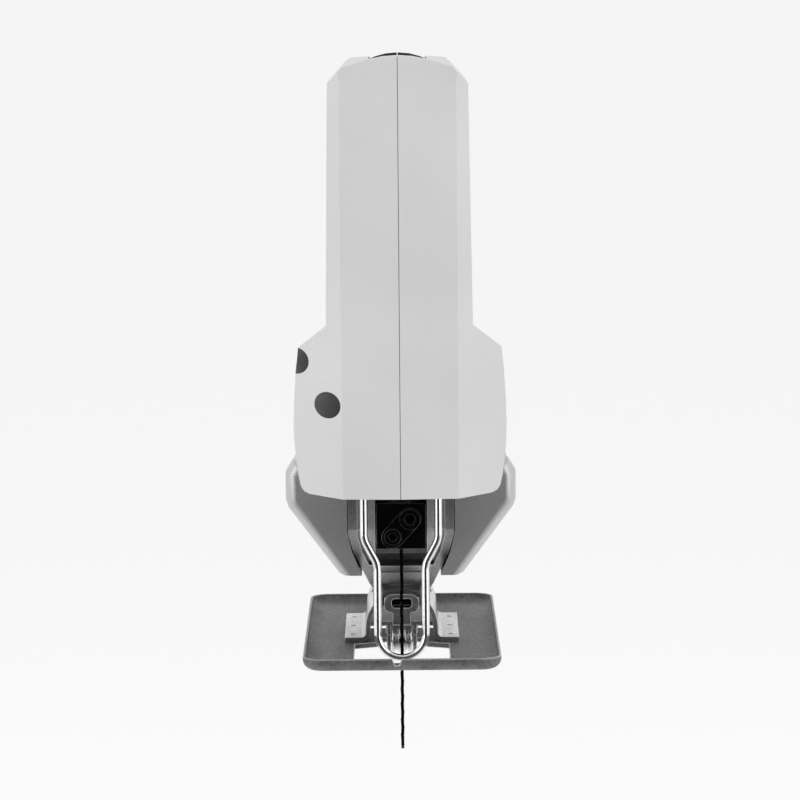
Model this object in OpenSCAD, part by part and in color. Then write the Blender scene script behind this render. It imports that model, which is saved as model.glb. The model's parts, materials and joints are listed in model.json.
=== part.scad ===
// Corded jigsaw with a closed D-shaped handle.
// Frame: origin on the underside of the sole, mid-width and mid-length,
// +Z up, the blade end towards -Y, the tool's own left side towards +X.

/* [Housing] */
// Half width of the flat face at the front of the nose
face_half = 21.8; // [18:0.1:22]
// Half width of the tower above the shoulder
tower_half = 27.6; // [27.4:0.1:28]
// Half width of the motor body at its widest
body_half = 40.4; // [40:0.1:41]
// Front face of the nose, measured from mid-length of the sole
nose_y = -66; // [-68:0.5:-66]
// Rear face of the housing
rear_y = 122; // [122:1:130]
// Underside of the nose above the sole plane
nose_z = 64; // [63:0.5:64]
// Top of the housing above the sole plane
top_z = 230; // [229:0.5:233]
// Wall thickness of the plastic shells
wall = 2.6; // [2.2:0.1:2.8]

/* [Sole] */
// Width of the sole plate
sole_w = 75; // [72:1:78]
// Length of the sole plate
sole_len = 150; // [150:1:156]
// Thickness of the pressed steel sheet
sheet = 2; // [1.6:0.1:2]
// Outer radius of the tilting bracket
arch_r = 14; // [14:0.1:14.2]

/* [Drive] */
// Stroke of the plunger
stroke = 18; // [14:1:18]
// Distance of the plunger axis behind the sole's mid-length
plunger_y = -42; // [-42:0.5:-41.5]
// Diameter of the plunger rod
rod_d = 9; // [8:0.5:9]
// Height of the motor axis
motor_z = 96; // [95:0.5:97]
// Teeth on the crank gear
gear_teeth = 41; // [41]
// Teeth on the motor pinion
pinion_teeth = 9; // [9]
// Free length of the blade below the clamp
blade_free = 79; // [60:1:90]

/* [Hidden] */
$fn = 64;

gap = 0.3;             // clearance between bodies that move past each other
seam = 0.15;           // each shell stops this far from the mid-plane
big = 400;
shoulder_z = 128;
body_fall = 5.7;       // the shoulders of the motor body fall towards the rear by this angle
top_fall = 1.9;        // and so does the top of the handle
TOP_PIVOT = -56;       // from this place along Y
BODY_PIVOT = -50;
opening = [-19, 84, 132, 190];   // hand opening: front, rear, lowest and highest
tooth_module = 1;
gear_z = motor_z + tooth_module * (gear_teeth + pinion_teeth) / 2;
crank_r = stroke / 2;
tilt_z = 8;            // height of the sole's tilting axis
rod_r = rod_d / 2;
screw_r = 1.7;
pilot_r = 1.75;
counterbore_r = 5;
counterbore_x = 14;    // the screw heads sit this far from the mid-plane
// Places [y, z] of the screws that hold the shells together
SHELL_SCREWS = [
  [-60.5, 99.3], [-54, 166], [-50, 216], [46, 215], [98, 206], [112, 140], [106, 80]
];
CASE_SCREW = [-48.5, 115];       // holds the right shell to the gear case
ORBIT = [-15, 86];               // y and z of the orbit selector's axis
LOCK = [26, 208];                // y and z of the lock-on button's axis
GLAND_Z = 178;                   // height of the cord gland
COIL_X = 20.5;                   // the field coils lie this far to each side of the motor axis
slip = 0.02;                     // radial clearance of a bore round the pin or bush that it holds

// ---- helpers ----

// Extrudes an outline drawn in (y, z) along X, from x0 to x1
module along_x(x0, x1) {
  translate([x0, 0, 0]) rotate([90, 0, 90]) linear_extrude(x1 - x0) children();
}

// Extrudes an outline drawn in (x, z) along Y, from y0 to y1
module along_y(y0, y1) {
  translate([0, y1, 0]) rotate([90, 0, 0]) linear_extrude(y1 - y0) children();
}

// A round bar along X, Y or Z between two coordinates
module bar_x(r, x0, x1, y, z) {
  translate([x0, y, z]) rotate([0, 90, 0]) cylinder(r = r, h = x1 - x0);
}
module bar_y(r, y0, y1, x, z) {
  translate([x, y0, z]) rotate([-90, 0, 0]) cylinder(r = r, h = y1 - y0);
}
module bar_z(r, z0, z1, x, y) {
  translate([x, y, z0]) cylinder(r = r, h = z1 - z0);
}

module box(x0, x1, y0, y1, z0, z1) {
  translate([x0, y0, z0]) cube([x1 - x0, y1 - y0, z1 - z0]);
}

module both_sides() {
  children();
  mirror([1, 0, 0]) children();
}

function arc(cx, cy, r, a0, a1, n) =
  [for (i = [0:n]) let (a = a0 + (a1 - a0) * i / n) [cx + r * cos(a), cy + r * sin(a)]];

// Rectangle with its own radius at each corner: low-left, low-right, high-right, high-left
module rounded(u0, u1, v0, v1, r) {
  polygon(concat(
    arc(u0 + r[0], v0 + r[0], r[0], 180, 270, 8), arc(u1 - r[1], v0 + r[1], r[1], 270, 360, 8),
    arc(u1 - r[2], v1 - r[2], r[2], 0, 90, 8), arc(u0 + r[3], v1 - r[3], r[3], 90, 180, 8)));
}

// ---- housing ----

// Side view of the housing, drawn in (y, z), t inside its outer surface
module side_outline(t) {
  difference() {
    intersection() {
      rounded(nose_y + t, rear_y - t, nose_z - 4 + t, top_z - t, [3.1 - t, 18 - t, 34 - t, 10 - t]);
      translate([TOP_PIVOT, top_z - t]) rotate(-top_fall) translate([-100, -300]) square([400, 300]);
    }
    intersection() {
      rounded(opening[0] - t, opening[1] + t, opening[2] - t, opening[3] + t,
              [13 + t, 18 + t, 20 + t, 13 + t]);
      // the lower front corner leans forward, over the gear case
      translate([-0.8 * t, -0.6 * t]) polygon([[20, 120], [200, 120], [200, 212], [-49, 212]]);
    }
  }
}

// Front view of the housing, drawn in (x, z); deep lowers its underside out of the way
module front_outline(t, deep = 0) {
  low = nose_z + t - deep;
  right = [
    [0, low], [face_half, low + 0.2], [34.5 - t, low + 0.7], [36.6 - t, low + 1.5],
    [37.8 - t, low + 3.2], [38.7 - t, 71], [body_half - 0.8 - t, 77], [body_half - 0.2 - t, 84],
    [body_half - t, 91], [body_half - 0.4 - t, 102], [body_half - 1 - t, 112],
    [body_half - 1.9 - t, 120], [tower_half - t, shoulder_z + 0.5 - t / 3],
    [tower_half - 1.3 - t, top_z - 10.5], [face_half - 1.3 - t, top_z - 4.2 - t],
    [11.4, top_z - 1.6 - t], [5.5, top_z - 0.4 - t], [0, top_z - t]
  ];
  polygon(concat(right, [for (i = [len(right) - 2:-1:1]) [-right[i][0], right[i][1]]]));
}

// Plan view below the shoulder: flat face, slanted facets, then the motor body
module body_plan(t) {
  f = body_half - face_half;
  k = t * 0.414;
  right = [
    [face_half - k, nose_y + t], [body_half - t, nose_y + f + k], [body_half - t, 66],
    [body_half - 6 - t, 100], [25 - k, rear_y - t]
  ];
  polygon(concat(right, [for (i = [len(right) - 1:-1:0]) [-right[i][0], right[i][1]]]));
}

// Plan view above the shoulder: the tower, then the slimmer hand grip
module grip_plan(t) {
  f = tower_half - face_half;
  k = t * 0.414;
  right = [
    [face_half - k, nose_y + t], [tower_half - t, nose_y + f + k], [tower_half - t, -2],
    [23.5 - t, 9], [20 - t, 22], [18.5 - t, 46], [19.5 - t, 84], [20.5 - t, 104],
    [14 - k, rear_y - t]
  ];
  polygon(concat(right, [for (i = [len(right) - 1:-1:0]) [-right[i][0], right[i][1]]]));
}

module housing_solid(t) {
  intersection() {
    along_x(-60, 60) side_outline(t);
    along_y(-100, 150) front_outline(t);
    union() {
      intersection() {
        translate([0, 0, 40]) linear_extrude(shoulder_z + 2 - 40 - t) body_plan(t);
        translate([0, BODY_PIVOT, shoulder_z]) rotate([-body_fall, 0, 0])
          translate([0, -BODY_PIVOT, -shoulder_z]) along_y(-100, 180) front_outline(t, 30);
      }
      translate([0, 0, 100]) linear_extrude(150) grip_plan(t);
    }
  }
}

GRIP = [-52, 92];      // front and rear end of the soft grip
GRIP_HALF = 11;

// Lays a piece along the sloping top of the handle
module grip_place() {
  translate([0, TOP_PIVOT, top_z]) rotate([-top_fall, 0, 0]) translate([0, -TOP_PIVOT, -top_z]) children();
}

// Places in the shells that stay open for the parts that pass through them
module shell_openings() {
  box(-20.7, 20.7, -54, -4, nose_z - 9, nose_z + 9);              // neck of the gear case
  both_sides() bar_z(3.4, nose_z - 5, nose_z + 12, GUARD_TOP[0], GUARD_Y);    // feet of the wire guard
  box(-7.4, 7.4, -6, 34, opening[3] - 6, opening[3] + 8);         // trigger
  bar_x(4.3, 10, 30, LOCK[0], LOCK[1]);                                    // lock-on button
  box(-4.4, 4.4, rear_y - 6, rear_y + 6, 101, 123);               // speed dial
  for (p = BELLY_SCREWS) bar_z(pilot_r, nose_z - 6, nose_z + 4, p[0], p[1]);
  bar_x(10.3, 36, 50, ORBIT[0], ORBIT[1]);                                   // orbit selector knob
  bar_x(3.3, 30, 40, ORBIT[0], ORBIT[1]);
  bar_y(6.6, rear_y - 5, rear_y + 5, 0, GLAND_Z);                     // cord gland
  grip_place() box(-GRIP_HALF, GRIP_HALF, GRIP[0], GRIP[1], top_z - 2.6, top_z + 5);
  both_sides() for (y = [60:8:92]) box(body_half - 12, body_half + 5, y, y + 3.2, 82, 102);
}

module shell_bosses() {
  for (p = SHELL_SCREWS) bar_x(counterbore_r + 1.8, -50, 50, p[0], p[1]);
  // ribs that hold the stator and the rear bearing
  difference() {
    for (y = [[20, 22], [47, 49]]) box(-50, 50, y[0], y[1], 50, shoulder_z - 3);
    bar_y(26.05, 10, 60, 0, motor_z);
  }
  difference() {
    box(-50, 50, 83.2, 87.2, 50, shoulder_z);
    bar_y(9.55, 80, 90, 0, motor_z);
  }
}

// One clamshell half; side is 1 for the left half and -1 for the right half
module shell(side) {
  difference() {
    intersection() {
      union() {
        difference() {
          housing_solid(0);
          housing_solid(wall);
        }
        intersection() {
          housing_solid(0.8);
          union() {
            shell_bosses();
            if (side > 0) bar_x(13, 33, 50, ORBIT[0], ORBIT[1]);
            if (side < 0) bar_x(counterbore_r + 1.8, -50, -28.3, CASE_SCREW[0], CASE_SCREW[1]);
          }
        }
      }
      if (side > 0) box(seam, 60, -100, 150, 0, 260);
      else box(-60, -seam, -100, 150, 0, 260);
    }
    shell_openings();
    for (p = SHELL_SCREWS) {
      if (side > 0) bar_x(pilot_r, 0, counterbore_x + 1, p[0], p[1]);
      else {
        bar_x(pilot_r + 0.3, -30, 0, p[0], p[1]);
        bar_x(counterbore_r, -60, -counterbore_x, p[0], p[1]);
      }
    }
    if (side < 0) {
      bar_x(pilot_r + 0.3, -40, -20, CASE_SCREW[0], CASE_SCREW[1]);
      bar_x(counterbore_r, -60, -31, CASE_SCREW[0], CASE_SCREW[1]);
    }
  }
}

module left_shell() { color("gainsboro") shell(1); }
module right_shell() { color("gainsboro") shell(-1); }

// Half of the soft overmould on top of the handle
module grip_half() {
  intersection() {
    grip_place() along_y(GRIP[0], GRIP[1])
      polygon([[-GRIP_HALF, top_z - 2.6], [GRIP_HALF, top_z - 2.6], [GRIP_HALF, top_z - 1.5],
               [8.5, top_z - 0.4], [4.5, top_z + 0.7], [0, top_z + 1.1], [-4.5, top_z + 0.7],
               [-8.5, top_z - 0.4], [-GRIP_HALF, top_z - 1.5]]);
    box(seam, 40, -100, 150, 200, 260);
  }
}
module left_grip() { color("dimgray") grip_half(); }
module right_grip() { color("dimgray") mirror([1, 0, 0]) grip_half(); }

module housing_screws() {
  color("silver") {
    for (p = SHELL_SCREWS) {
      bar_x(screw_r, -counterbore_x, counterbore_x - 1, p[0], p[1]);
      difference() {
        bar_x(3.4, -counterbore_x - 2.4, -counterbore_x, p[0], p[1]);
        bar_x(1.4, -counterbore_x - 3, -counterbore_x - 1, p[0], p[1]);
      }
    }
    bar_x(screw_r, -31, -24, CASE_SCREW[0], CASE_SCREW[1]);
    bar_x(3.4, -33.4, -31, CASE_SCREW[0], CASE_SCREW[1]);
  }
}

// ---- gear case, neck and guards ----

CASE_HALF = 24;
CASE_Y = [-53, -12];
CASE_Z = [70, 146];    // the front of the case rises to the top of the upper bush
CASE_TOP = 152;
bush_r = 6;

// Front view of the neck, drawn in (x, z), t inside its outer surface
module neck_outline(t) {
  right = [[11 - t, 14], [11 - t, 23], [12.4 - t, 25.5], [18.3 - t, 40], [20.1 - t, 48], [20.1 - t, 71]];
  polygon(concat(right, [for (i = [len(right) - 1:-1:0]) [-right[i][0], right[i][1]]]));
}

module neck() {
  difference() {
    intersection() {
      along_y(-60, 40) neck_outline(0);
      along_x(-30, 30) polygon([[-52, 71], [-52, 62], [-49, 50], [-24, 25], [-22, 22], [-22, 14],
                                [34, 14], [34, 32], [4, 60], [-12.1, 69], [-12.1, 71]]);
    }
    // the channel behind the blade, with its two cross webs
    intersection() {
      along_y(-61, 41) neck_outline(3.5);
      along_x(-31, 31) polygon([[-60, 34], [-33, 34], [-33, 32.4], [-27, 30], [-23.5, 24],
                                [-22.8, 10], [-60, 10]]);
    }
    along_x(-9.9, 9.9) polygon([[-60, 62], [-28, 62], [-28, 41.5], [-33, 40.3], [-33, 38.6],
                                [-15, 38.6], [-15, 33.5], [-33, 33.5], [-60, 33.5]]);
    // the broad faces beside the clamp lie a little behind the outer edges
    intersection() {
      along_y(-61, 41) neck_outline(3.5);
      along_x(-31, 31) polygon([[-60, 62], [-49, 62], [-46, 50], [-31, 34], [-60, 34]]);
    }
    bar_y(arch_r + gap, -30, 40, 0, tilt_z);
    bar_z(3.02, 10, 34, 0, 17);
    box(-15, 15, -22, 2, 46, 80);
    bar_z(bush_r + slip, 55, 80, 0, plunger_y);
  }
}

module gear_case() {
  color("darkgray") {
    difference() {
      union() {
        neck();
        difference() {
          union() {
            along_y(CASE_Y[0], CASE_Y[1])
              rounded(-CASE_HALF, CASE_HALF, CASE_Z[0], CASE_Z[1], [2, 2, 9, 9]);
            along_y(CASE_Y[0], -31) rounded(-16, 16, 120, CASE_TOP, [2, 2, 6, 6]);
            both_sides() bar_z(3.2, nose_z + 1, 76, GUARD_TOP[0], GUARD_Y);
            both_sides() box(GUARD_TOP[0] - 2, GUARD_TOP[0] + 2, GUARD_Y, -52, 68, 76);
            bar_x(4.5, -28, -23, CASE_SCREW[0], CASE_SCREW[1]);
          }
          difference() {
            union() {
              along_y(-50, CASE_Y[1] + 1) rounded(-22, 22, CASE_Z[0] + 2, CASE_Z[1] - 2, [2, 2, 8, 8]);
              along_y(-50, -33) rounded(-14, 14, 120, CASE_TOP - 2, [2, 2, 5, 5]);
            }
            for (z = [[66, 78], [141, 151]]) {
              bar_z(8, z[0], z[1], 0, plunger_y);
              box(-8, 8, -51, plunger_y, z[0], z[1]);
            }
          }
          both_sides() bar_z(1.5, nose_z - 1, 74, GUARD_TOP[0], GUARD_Y);
          bar_x(pilot_r, -29, -21, CASE_SCREW[0], CASE_SCREW[1]);
        }
        // ears for the pin of the roller lever
        both_sides() box(7.3, 11, -26, -21, 15.8, 24);
      }
      bar_z(bush_r + slip, 55, 80, 0, plunger_y);
      bar_z(bush_r + slip, 139, 160, 0, plunger_y);
      bar_x(1.5, -12, 12, LEVER[0], LEVER[1]);
      box(-15, 15, -22, -14, 60, 78);
      bar_y(arch_r + gap, BRACKET_Y[0] - gap, 40, 0, tilt_z);
    }
  }
}

module bearing_plate() {
  color("silver") difference() {
    along_y(-12, -5) rounded(-CASE_HALF, CASE_HALF, CASE_Z[0], CASE_Z[1], [2, 2, 9, 9]);
    bar_y(5.01, -13, 0, 0, gear_z);
    bar_y(9.52, -10, 0, 0, motor_z);
    bar_y(7, -13, 0, 0, motor_z);
  }
}

module gear_shaft() {
  color("lightgray") {
    bar_y(5, -28, -5, 0, gear_z);
    bar_y(5.2, -28.6, -28, 0, gear_z);
  }
}

module plunger_bushes() {
  color("darkgoldenrod") for (z = [[66, 78], [140, 151]]) difference() {
    bar_z(bush_r, z[0], z[1], 0, plunger_y);
    bar_z(rod_r + 0.05, z[0] - 1, z[1] + 1, 0, plunger_y);
  }
}

GUARD_R = 1.45;                  // radius of the guard wire
GUARD_Y = -57;                   // the wire lies in this plane
GUARD_SIDES = 12;
GUARD_TOP = [14.1, 47.6];        // x and z of the corner where the leg slants inwards
GUARD_LOW = [9.1, 38.2];         // x and z of the corner where it runs straight again
GUARD_BOW_Z = 11.2;              // height of the centre of the half-round bow at its foot

// A rounded corner at p, d long each way, between the directions of a and b
function bend(a, p, b, d) =
  let (u = p + d * (a - p) / norm(a - p), v = p + d * (b - p) / norm(b - p))
  [for (i = [0:6]) let (t = i / 6) (1 - t) * (1 - t) * u + 2 * t * (1 - t) * p + t * t * v];

// A round wire of radius r along points [x, z] that lie in one plane of constant Y
module bent_wire(points, r, y) {
  n = len(points) - 1;
  rings = [for (i = [0:n]) let (
      run = points[min(i + 1, n)] - points[max(i - 1, 0)],
      side = [run[1], -run[0]] / norm(run))
    for (j = [0:GUARD_SIDES - 1]) let (q = j * 360 / GUARD_SIDES, c = r * cos(q))
      [points[i][0] + c * side[0], y + r * sin(q), points[i][1] + c * side[1]]];
  last = n * GUARD_SIDES;
  polyhedron(rings, concat(
    [[for (j = [GUARD_SIDES - 1:-1:0]) j]],
    [[for (j = [0:GUARD_SIDES - 1]) last + j]],
    [for (i = [0:n - 1]) for (j = [0:GUARD_SIDES - 1]) let (k = (j + 1) % GUARD_SIDES, m = i * GUARD_SIDES)
      [m + j, m + k, m + GUARD_SIDES + k, m + GUARD_SIDES + j]]), convexity = 6);
}

module wire_guard() {
  foot = [GUARD_TOP[0], 73.9];
  low = [GUARD_LOW[0], GUARD_BOW_Z];
  half = concat([foot], bend(foot, GUARD_TOP, GUARD_LOW, 4.5), bend(GUARD_TOP, GUARD_LOW, low, 4.5));
  other = [for (i = [len(half) - 1:-1:0]) [-half[i][0], half[i][1]]];
  color("lightgray")
    bent_wire(concat(half, arc(0, GUARD_BOW_Z, GUARD_LOW[0], 0, -180, 18), other), GUARD_R, GUARD_Y);
}

// ---- belly cover and dust outlet ----

BELLY_Y = [-40, 90];
belly_top = 75.2;                // top of the flanges beside the nose
BELLY_SCREWS = [[-12, 60], [12, 60]];
outlet_r = 14.2;
outlet_z = 48;

module belly_outline(t) {
  right = [
    [0, 31 + t], [21.5, 31 + t], [23.8 - t * 0.5, 32 + t], [43 - t, 57.2 + t * 0.3], [44.2 - t, 60.5],
    [44.2 - t, belly_top - 4.2], [43.2 - t, belly_top - 1.6], [41.3 - t, belly_top], [0, belly_top]
  ];
  polygon(concat(right, [for (i = [len(right) - 2:-1:1]) [-right[i][0], right[i][1]]]));
}

// Plan view: widest at the front, where it shields the hand, then flush with the body
module belly_plan(t) {
  right = [[44.2 - t, -50], [44.2 - t, -37], [40.8 - t, -28], [40.4 - t, 20], [36 - t, 95]];
  linear_extrude(100) polygon(concat(right, [for (i = [len(right) - 1:-1:0]) [-right[i][0], right[i][1]]]));
}

module belly_cover() {
  color("gray") difference() {
    union() {
      difference() {
        intersection() {
          along_y(BELLY_Y[0], BELLY_Y[1]) belly_outline(0);
          belly_plan(0);
        }
        intersection() {
          along_y(BELLY_Y[0] + 2.5, BELLY_Y[1] - 3) belly_outline(2.5);
          belly_plan(2.5);
          box(-60, 60, -100, 100, 0, 63);
        }
      }
      for (p = BELLY_SCREWS) bar_z(5, 32, 63, p[0], p[1]);
    }
    along_y(BELLY_Y[0] - 1, BELLY_Y[1] + 1) front_outline(-0.3);
    along_y(BELLY_Y[0] - 1, 34.6) neck_outline(-0.5);
    box(-20.6, 20.6, BELLY_Y[0] - 1, 6, 58, 80);
    bar_y(outlet_r + 0.05, 80, 95, 0, outlet_z);
    for (p = BELLY_SCREWS) {
      bar_z(1.9, 40, 70, p[0], p[1]);
      bar_z(4, 20, 48, p[0], p[1]);
    }
  }
}

module belly_screws() {
  color("silver") for (p = BELLY_SCREWS) {
    bar_z(screw_r, 48, 66, p[0], p[1]);
    difference() {
      bar_z(3.4, 45.6, 48, p[0], p[1]);
      bar_z(1.4, 45, 47, p[0], p[1]);
    }
  }
}

module dust_outlet() {
  color("dimgray") difference() {
    union() {
      bar_y(outlet_r, 78, 112, 0, outlet_z);
      bar_y(outlet_r + 1.2, 90, 92.5, 0, outlet_z);
    }
    bar_y(12.5, 77, 113, 0, outlet_z);
  }
}

// ---- motor ----

module stator_core() {
  color("slategray") difference() {
    bar_y(26, 16, 54, 0, motor_z);
    bar_y(17.5, 15, 55, 0, motor_z);
    both_sides() bar_y(3.4, 15, 55, COIL_X, motor_z);
  }
}

module field_coils() {
  color("peru") both_sides() bar_y(3.3, 12.6, 57.4, COIL_X, motor_z);
}

module armature_shaft() {
  color("lightgray") {
    bar_y(4, -16.5, 90, 0, motor_z);
    along_y(-27, -16.5) translate([0, motor_z]) {
      circle(r = pinion_teeth / 2 - 1);
      for (i = [0:pinion_teeth - 1]) rotate(110 + i * 360 / pinion_teeth)
        polygon([[2, -0.75], [pinion_teeth / 2 - 0.9, -0.75], [pinion_teeth / 2 + 0.6, -0.3],
                 [pinion_teeth / 2 + 0.6, 0.3], [pinion_teeth / 2 - 0.9, 0.75], [2, 0.75]]);
    }
  }
}

module armature_core() {
  color("dimgray") difference() {
    bar_y(17, 16, 54, 0, motor_z);
    bar_y(4.01, 15, 55, 0, motor_z);
    for (a = [0:30:330]) translate([0, 0, motor_z]) rotate([0, a, 0]) box(-1, 1, 15, 55, 13, 18);
  }
}

module commutator() {
  color("peru") difference() {
    bar_y(11, 60, 74, 0, motor_z);
    bar_y(4.01, 59, 75, 0, motor_z);
  }
}

module cooling_fan() {
  color("black") difference() {
    union() {
      bar_y(24, 0.5, 2.5, 0, motor_z);
      bar_y(8, 2.5, 11, 0, motor_z);
      translate([0, 0, motor_z]) for (a = [0:30:330]) rotate([0, a, 0]) box(-0.6, 0.6, 2.5, 10, 7.5, 23);
    }
    bar_y(4.01, -1, 12, 0, motor_z);
  }
}

BEARINGS = [[-10, -5.5], [83, 87.5]];

module bearing_outer_rings() {
  color("lightgray") for (b = BEARINGS) difference() {
    bar_y(9.5, b[0], b[1], 0, motor_z);
    bar_y(7.8, b[0] - 1, b[1] + 1, 0, motor_z);
  }
}

module bearing_inner_rings() {
  color("lightgray") for (b = BEARINGS) difference() {
    bar_y(5.8, b[0], b[1], 0, motor_z);
    bar_y(4.01, b[0] - 1, b[1] + 1, 0, motor_z);
  }
}

module bearing_balls() {
  color("silver") for (b = BEARINGS) for (a = [0:45:315])
    translate([6.8 * cos(a), (b[0] + b[1]) / 2, motor_z + 6.8 * sin(a)]) sphere(r = 0.9);
}

module air_baffle() {
  color("black") difference() {
    bar_y(26.5, 12.2, 14, 0, motor_z);
    bar_y(23, 12, 15, 0, motor_z);
    both_sides() bar_y(3.6, 12, 15, COIL_X, motor_z);
  }
}

module brush_holders() {
  color("black") both_sides() difference() {
    box(13, 33, 62, 72, motor_z - 5, motor_z + 5);
    box(12, 31, 63.9, 70.1, motor_z - 3.1, motor_z + 3.1);
  }
}

module carbon_brushes() {
  color("dimgray") both_sides() box(11.3, 24, 64, 70, motor_z - 3, motor_z + 3);
}

// A compression spring along Z from z0 to z1, swept round its axis
module coil_spring(r, wire_r, z0, z1, turns) {
  sides = 6;
  steps = turns * 12;
  points = [for (i = [0:steps]) let (a = i * 30, h = z0 + wire_r + (z1 - z0 - 2 * wire_r) * i / steps)
    for (j = [0:sides - 1]) let (b = j * 360 / sides)
      [(r + wire_r * cos(b)) * cos(a), (r + wire_r * cos(b)) * sin(a), h + wire_r * sin(b)]];
  last = steps * sides;
  faces = concat(
    [[for (j = [0:sides - 1]) j]],
    [[for (j = [sides - 1:-1:0]) last + j]],
    [for (i = [0:steps - 1]) for (j = [0:sides - 1]) let (k = (j + 1) % sides)
      [i * sides + j, (i + 1) * sides + j, (i + 1) * sides + k, i * sides + k]]);
  polyhedron(points, faces, convexity = 10);
}

module brush_springs() {
  color("silver") both_sides() translate([24.1, 67, motor_z]) rotate([0, 90, 0])
    coil_spring(2.2, 0.35, 0, 6.8, 4);
}

// ---- crank and plunger ----

crank_z = gear_z + crank_r;      // the crank rests at the top of the stroke

module crank_gear() {
  color("silver") difference() {
    along_y(-27, -18) translate([0, gear_z]) {
      circle(r = gear_teeth / 2 - 0.9);
      for (i = [0:gear_teeth - 1]) rotate(-90 + i * 360 / gear_teeth)
        polygon([[18, -0.75], [gear_teeth / 2 - 0.9, -0.75], [gear_teeth / 2 + 0.6, -0.3],
                 [gear_teeth / 2 + 0.6, 0.3], [gear_teeth / 2 - 0.9, 0.75], [18, 0.75]]);
    }
    bar_y(5.05, -28, -17, 0, gear_z);
    bar_y(2.51, -28, -17, 0, crank_z);
    for (a = [60:60:300]) translate([0, 0, gear_z]) rotate([0, a, 0]) bar_y(3, -28, -17, 0, 12.5);
  }
}

module crank_pin() { color("lightgray") bar_y(2.5, -32.4, -18, 0, crank_z); }

module crank_roller() {
  color("silver") difference() {
    bar_y(3.6, -32.4, -27.4, 0, crank_z);
    bar_y(2.52, -33, -27, 0, crank_z);
  }
}

module plunger_rod() { color("lightgray") bar_z(rod_r, 55, 176, 0, plunger_y); }

module plunger_yoke() {
  color("silver") difference() {
    box(-15, 15, -47.5, -32.9, crank_z - 7, crank_z + 7);
    bar_z(rod_r + slip, crank_z - 8, crank_z + 8, 0, plunger_y);
    box(-13.2, 13.2, -37, -30, crank_z - 4, crank_z + 4);
    both_sides() box(8, 16, -48, -38, crank_z - 8, crank_z + 8);
  }
}

CLAMP_Z = [42.8, 60.4];
CLAMP_Y = [-50, -36];
CLAMP_UPPER = [3.4, 54.5];       // x and z of the socket screw
CLAMP_LOWER = [-3.2, 47.4];      // x and z of the set screw

module clamp_block() {
  color([0.1, 0.1, 0.11]) difference() {
    union() {
      along_y(CLAMP_Y[0], CLAMP_Y[1]) rounded(-9.4, 9.4, CLAMP_Z[0], CLAMP_Z[1], [0.5, 0.5, 1.2, 1.2]);
      bar_z(7, CLAMP_Z[1] - 1, CLAMP_Z[1] + 1.2, 0, plunger_y);
    }
    bar_z(rod_r + slip, 55, 65, 0, plunger_y);
    box(-0.62, 0.62, plunger_y - 4.1, plunger_y + 4.1, 40, 54.9);
    bar_y(2.55, -51, -46.7, CLAMP_UPPER[0], CLAMP_UPPER[1]);
    bar_y(3.05, -51, -46.35, CLAMP_LOWER[0], CLAMP_LOWER[1]);
  }
}

module clamp_pad() {
  color([0.13, 0.13, 0.14]) difference() {
    hull() for (p = [CLAMP_UPPER, CLAMP_LOWER]) bar_y(4.3, CLAMP_Y[0] - 1.1, CLAMP_Y[0], p[0], p[1], $fn = 48);
    bar_y(2.6, -55, -49, CLAMP_UPPER[0], CLAMP_UPPER[1]);
    bar_y(3.1, -55, -49, CLAMP_LOWER[0], CLAMP_LOWER[1]);
  }
}

// Six-sided key recess along Y
module key_recess(r, y0, y1, p) {
  translate([p[0], y0, p[1]]) rotate([-90, 0, 0]) cylinder(r = r, h = y1 - y0, $fn = 6);
}

module clamp_screws() {
  color([0.16, 0.16, 0.17]) {
    difference() {
      union() {
        bar_y(4, -53.2, -51.1, CLAMP_UPPER[0], CLAMP_UPPER[1]);
        bar_y(2.5, -51.2, -46.8, CLAMP_UPPER[0], CLAMP_UPPER[1]);
      }
      key_recess(2.3, -54, -50.8, CLAMP_UPPER);
    }
    difference() {
      bar_y(3, -50.6, -46.4, CLAMP_LOWER[0], CLAMP_LOWER[1]);
      key_recess(1.75, -52, -48.4, CLAMP_LOWER);
    }
  }
}

module saw_blade() {
  front = plunger_y - 4;
  back = plunger_y + 4;
  tip = CLAMP_Z[0] - blade_free;
  pitch = 3;
  count = floor((blade_free - 18) / pitch);
  color([0.08, 0.08, 0.08]) along_x(-0.6, 0.6) polygon(concat(
    [[back, 54.8], [back, 50.5], [back - 1, 49], [back, 47.5], [back, tip + 4], [back - 3, tip],
     [front + 2.4, tip + 1.6]],
    [for (i = [0:count - 1], k = [0, 1]) [front + (k == 0 ? 1.4 : 0), tip + 4 + (i + k * 0.85) * pitch]],
    [[front, CLAMP_Z[0] - 8], [front, 47.5], [front + 1, 49], [front, 50.5], [front, 54.8]]));
}

// ---- blade support roller ----

ROLLER = [-33.2, 5];             // y and z of the roller's pin
LEVER = [-23.8, 18];             // y and z of the lever's pin

module lever_pin() { color("silver") bar_x(1.48, -11, 11, LEVER[0], LEVER[1]); }

module roller_lever() {
  color("lightgray") difference() {
    union() {
      along_y(-27.4, -25.7) difference() {
        union() {
          rounded(-6.8, 6.8, 14.3, 21.6, [3, 3, 3.5, 3.5]);
          translate([-3.5, 8]) square([7, 7]);
        }
        rounded(-3.9, 3.9, 16.2, 19.8, [1.4, 1.4, 1.4, 1.4]);
      }
      both_sides() box(4.6, 6.8, -26, -22.4, 15.8, 20.2);
      box(-6.2, 6.2, -28.1, -25.7, 6.5, 9.6);
      both_sides() along_x(4.2, 5.7) polygon([[-37.2, 3], [-35.4, 1], [-29.5, 1], [-25.7, 6.5],
                                              [-25.7, 9.6], [-35, 9.6], [-37.2, 7.5]]);
    }
    bar_x(1.52, -8, 8, LEVER[0], LEVER[1]);
    bar_x(1.51, -8, 8, ROLLER[0], ROLLER[1]);
  }
}

module roller_pin() { color("silver") bar_x(1.5, -6.2, 6.2, ROLLER[0], ROLLER[1]); }

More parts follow.
